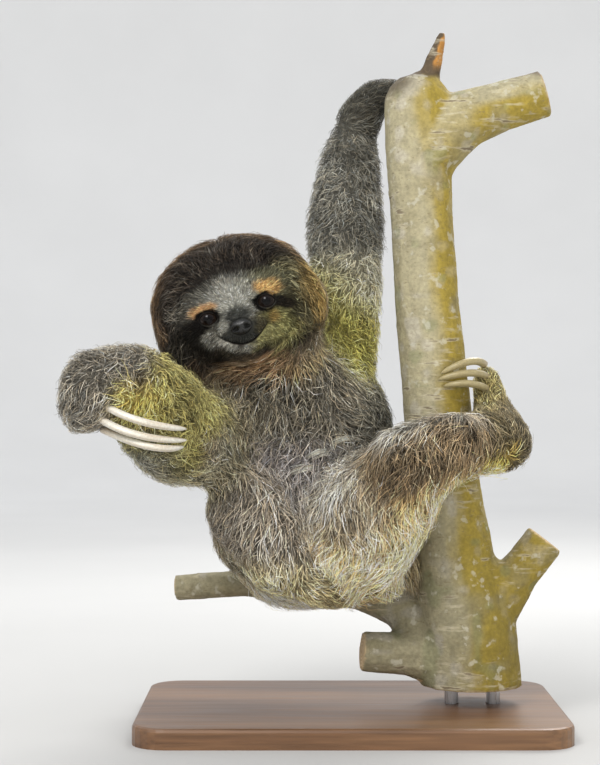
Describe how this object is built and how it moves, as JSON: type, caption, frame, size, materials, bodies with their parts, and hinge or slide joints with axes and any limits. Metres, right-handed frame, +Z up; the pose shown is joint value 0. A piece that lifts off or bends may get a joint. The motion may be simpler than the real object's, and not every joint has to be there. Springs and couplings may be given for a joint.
{
  "type": "life-size three-toed sloth model",
  "caption": "Life-size still model of a young three-toed sloth clinging to a short cut tree trunk, held upright on rods over a flat base.",
  "frame": {"origin": "centre of the underside of the display stand's flat base", "axes": "+Z up along the trunk, +Y away from the side the face looks to, +X to the animal's own left"},
  "size_m": [0.3431, 0.2683, 0.4977],
  "materials": {
    "coat_body": "matte",
    "coat_arm": "matte",
    "coat_head": "matte",
    "coat_throat": "matte",
    "muzzle": "matte",
    "nose": "satin",
    "eye": "gloss",
    "claw": "satin",
    "bark": "matte",
    "stand_wood": "satin",
    "stand_steel": "satin"
  },
  "bodies": {
    "root": {"head": "coat_head", "muzzle": "muzzle", "nose": "nose", "eye_left": "eye", "eye_right": "eye", "neck": "coat_throat", "chest": "coat_body", "belly": "coat_body", "tail": "coat_body", "upper_arm_left": "coat_arm", "forearm_left": "coat_arm", "hand_left": "coat_arm", "upper_arm_right": "coat_arm", "forearm_right": "coat_arm", "hand_right": "coat_arm", "thigh_left": "coat_body", "shank_left": "coat_body", "foot_left": "coat_body", "thigh_right": "coat_body", "shank_right": "coat_body", "foot_right": "coat_body", "claw_hand_left_1": "claw", "claw_hand_left_2": "claw", "claw_hand_left_3": "claw", "claw_hand_right_1": "claw", "claw_hand_right_2": "claw", "claw_hand_right_3": "claw", "claw_foot_left_1": "claw", "claw_foot_left_2": "claw", "claw_foot_left_3": "claw", "claw_foot_right_1": "claw", "claw_foot_right_2": "claw", "claw_foot_right_3": "claw", "perch": "bark", "stand_base": "stand_wood", "stand_rod_1": "stand_steel", "stand_rod_2": "stand_steel"}
  },
  "joints": []
}
